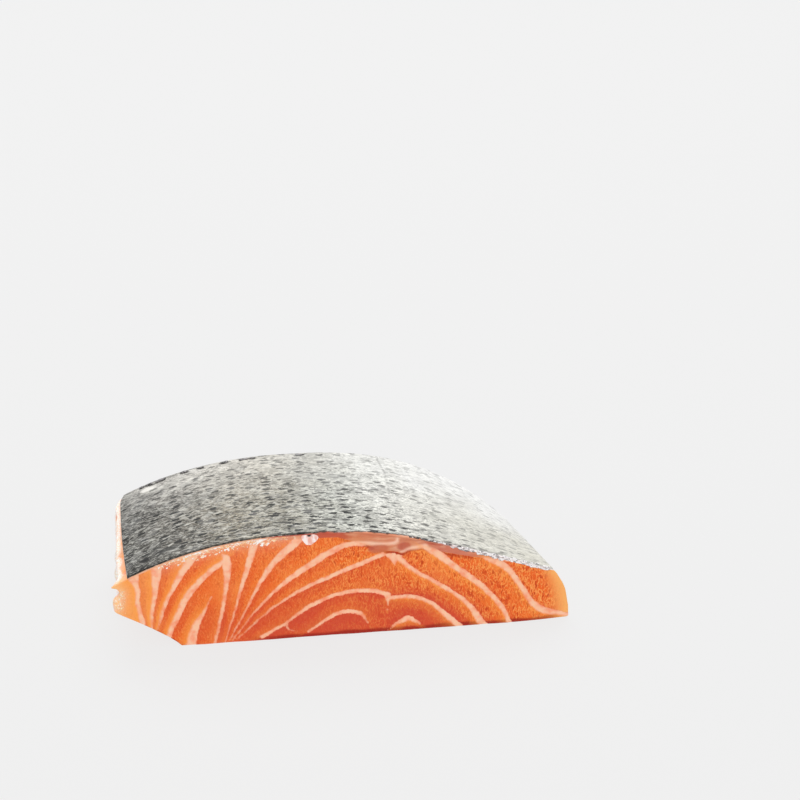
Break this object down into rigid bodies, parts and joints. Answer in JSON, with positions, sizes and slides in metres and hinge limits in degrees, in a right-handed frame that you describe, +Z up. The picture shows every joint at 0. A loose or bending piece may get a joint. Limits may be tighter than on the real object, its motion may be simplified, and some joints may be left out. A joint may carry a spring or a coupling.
{
  "type": "raw salmon fillet portion",
  "caption": "Raw salmon fillet portion lying skin side up: arched silver-grey skin over orange flesh with pale fan-shaped fat lines on its knife cuts.",
  "frame": {"origin": "centre of the footprint of the bounding box, on the table", "axes": "+X across the side of fish from its back to its belly, +Y along the fish away from the front knife cut, +Z up through the skin"},
  "size_m": [0.1331, 0.053, 0.0344],
  "materials": {
    "flesh": "wet raw salmon muscle, orange with pale fat lines, soft sheen",
    "skin": "scaled salmon skin, dark grey at the back to silver white at the belly, semi-gloss"
  },
  "bodies": {
    "root": {"flesh": "flesh", "skin": "skin"}
  },
  "joints": []
}
